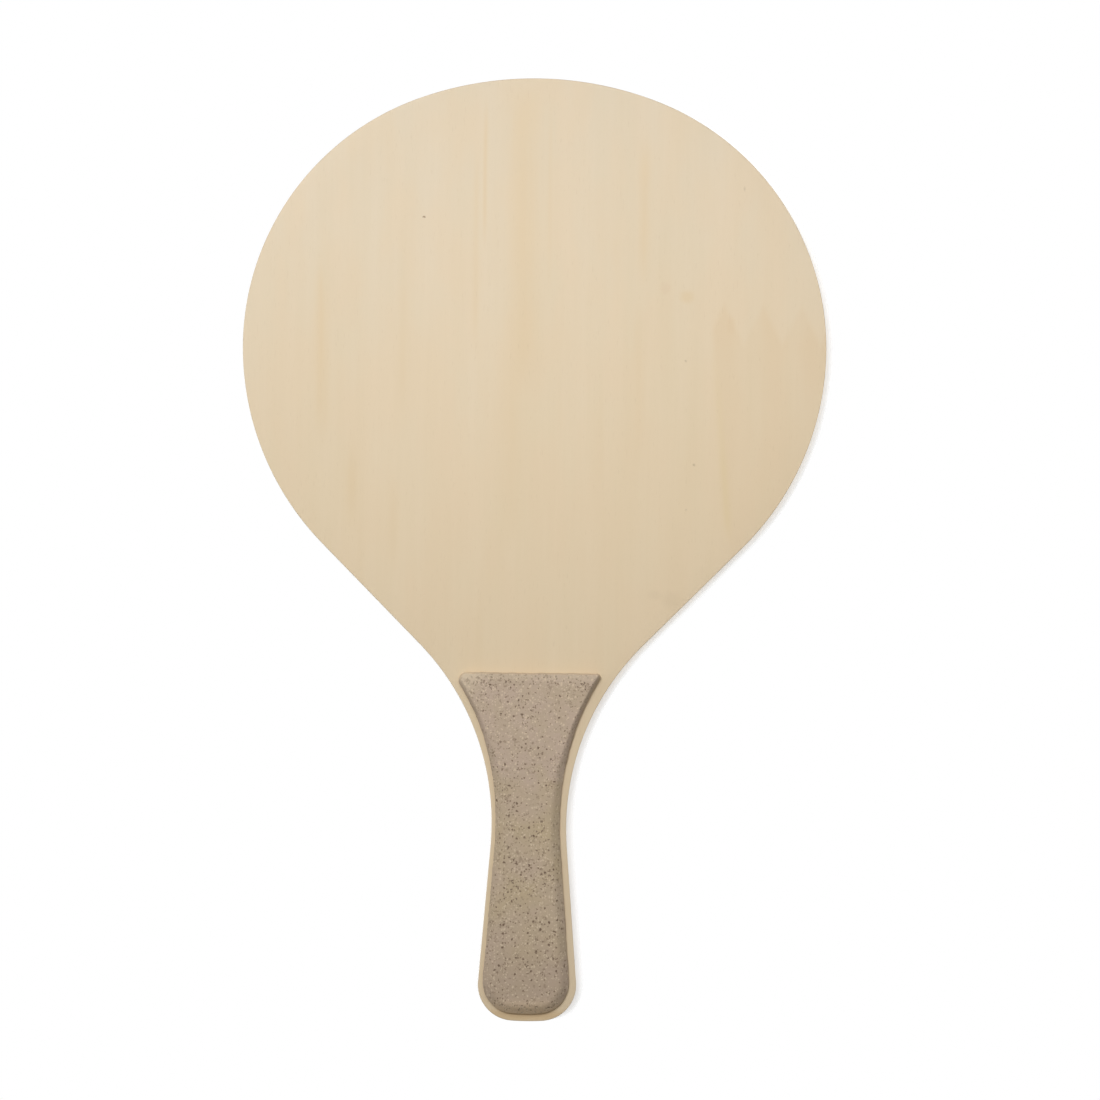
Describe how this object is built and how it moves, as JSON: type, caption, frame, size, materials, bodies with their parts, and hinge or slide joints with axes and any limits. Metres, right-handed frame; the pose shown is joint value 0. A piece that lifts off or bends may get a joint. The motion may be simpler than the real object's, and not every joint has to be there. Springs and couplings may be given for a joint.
{
  "type": "frescobol racket",
  "caption": "Round-bladed wooden beach racket of plywood with a speckled grip pad on each face of its handle and a checkerboard printed on its back.",
  "frame": {"origin": "the lowest point of the butt, in the middle of the width and of the board's thickness", "axes": "+Z from the butt to the tip of the blade, -Y out of the plain front face, +Y out of the printed back face, +X to the right as the front face is seen"},
  "size_m": [0.2352, 0.0142, 0.38],
  "materials": {
    "face_wood": "satin",
    "cross_wood": "matte",
    "core_wood": "matte",
    "glue": "satin",
    "grip_pad": "matte",
    "adhesive_film": "satin",
    "ink": "satin"
  },
  "bodies": {
    "root": {"front_face_veneer": "face_wood", "front_veneer_glue": "glue", "front_cross_ply": "cross_wood", "front_core_glue": "glue", "core_ply": "core_wood", "back_core_glue": "glue", "back_cross_ply": "cross_wood", "back_veneer_glue": "glue", "back_face_veneer": "face_wood", "front_pad_adhesive": "adhesive_film", "front_grip_pad": "grip_pad", "back_pad_adhesive": "adhesive_film", "back_grip_pad": "grip_pad", "checkerboard_print": "ink"}
  },
  "joints": []
}
